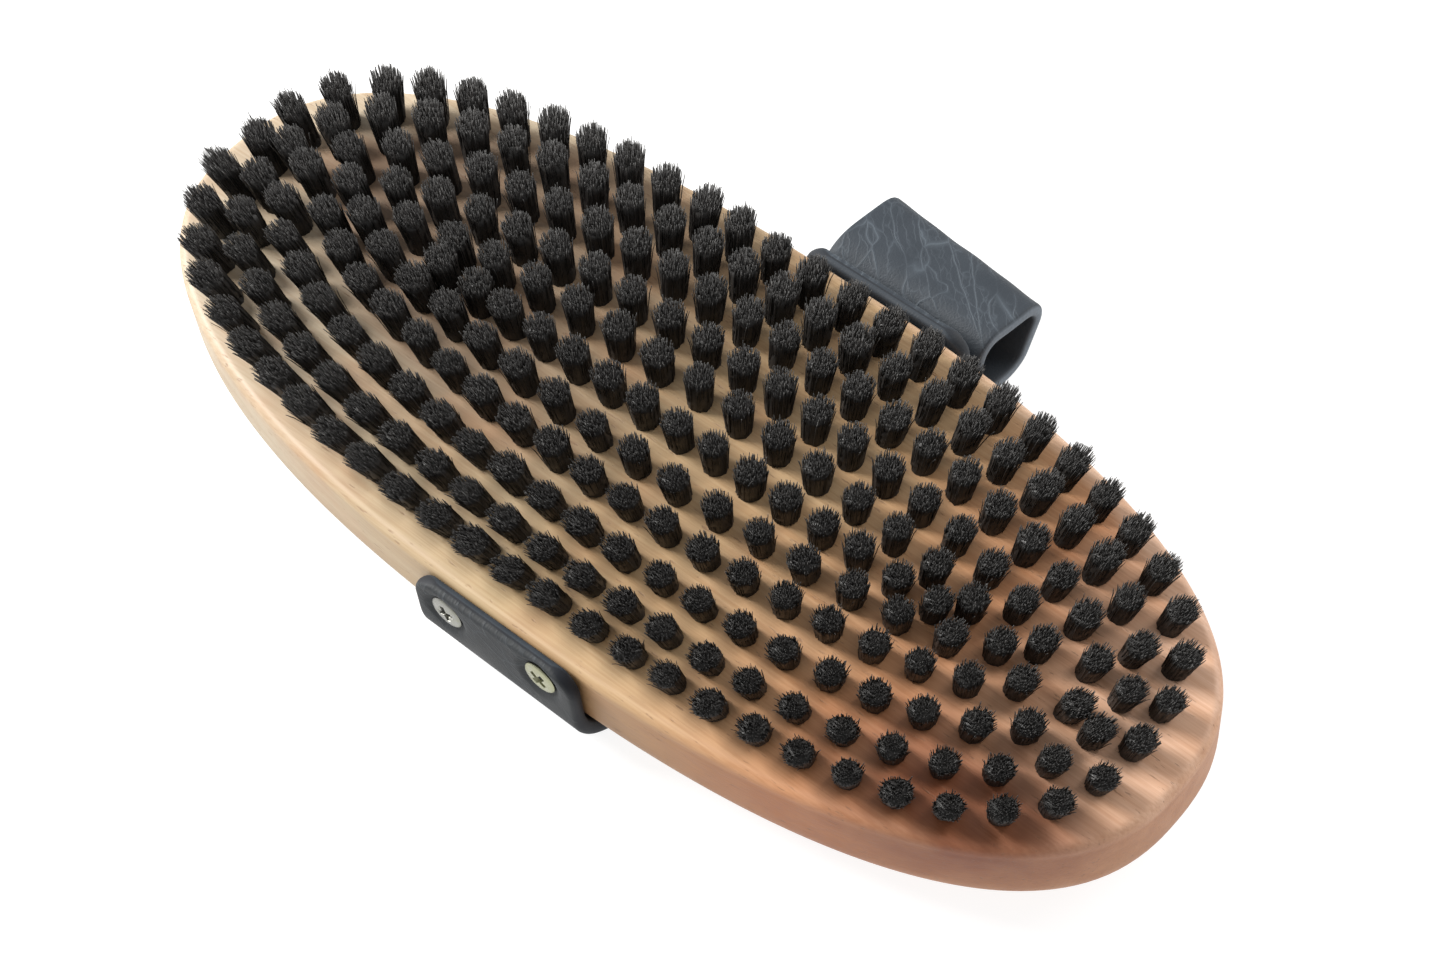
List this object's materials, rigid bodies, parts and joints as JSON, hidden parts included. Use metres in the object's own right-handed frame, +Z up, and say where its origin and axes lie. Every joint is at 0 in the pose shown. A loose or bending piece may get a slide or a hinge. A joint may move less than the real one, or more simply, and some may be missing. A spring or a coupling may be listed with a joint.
{
  "type": "body brush",
  "caption": "Oval wooden horse body brush with concentric rows of black bristle tufts and a screwed-on black leather hand strap that stands off one long side as a loop.",
  "frame": {"origin": "centre of the bounding box at floor level, with the brush lying on its strap and its bristles up", "axes": "+X along the block's long axis, +Y across it towards the side where the strap stands off as a loop, +Z up along the bristles"},
  "size_m": [0.22, 0.1212, 0.0313],
  "materials": {
    "wood": "smooth, unvarnished beech",
    "leather": "black, creased grain outside, smooth inside",
    "screw_metal": "plated, slightly yellow",
    "bristle": "matt black bristle, flat trimmed"
  },
  "bodies": {
    "root": {"hand_strap": "leather", "screw_far_left": "screw_metal", "screw_far_right": "screw_metal", "screw_near_left": "screw_metal", "screw_near_right": "screw_metal", "tufts_centre_row": "bristle", "tufts_row1_far_left": "bristle", "tufts_row1_far_right": "bristle", "tufts_row1_near_left": "bristle", "tufts_row1_near_right": "bristle", "tufts_row2_far_left": "bristle", "tufts_row2_far_right": "bristle", "tufts_row2_near_left": "bristle", "tufts_row2_near_right": "bristle", "tufts_row3_far_left": "bristle", "tufts_row3_far_right": "bristle", "tufts_row3_near_left": "bristle", "tufts_row3_near_right": "bristle", "tufts_row4_far_left": "bristle", "tufts_row4_far_right": "bristle", "tufts_row4_near_left": "bristle", "tufts_row4_near_right": "bristle", "tufts_row5_far_left": "bristle", "tufts_row5_far_right": "bristle", "tufts_row5_near_left": "bristle", "tufts_row5_near_right": "bristle", "wood_block": "wood"}
  },
  "joints": []
}
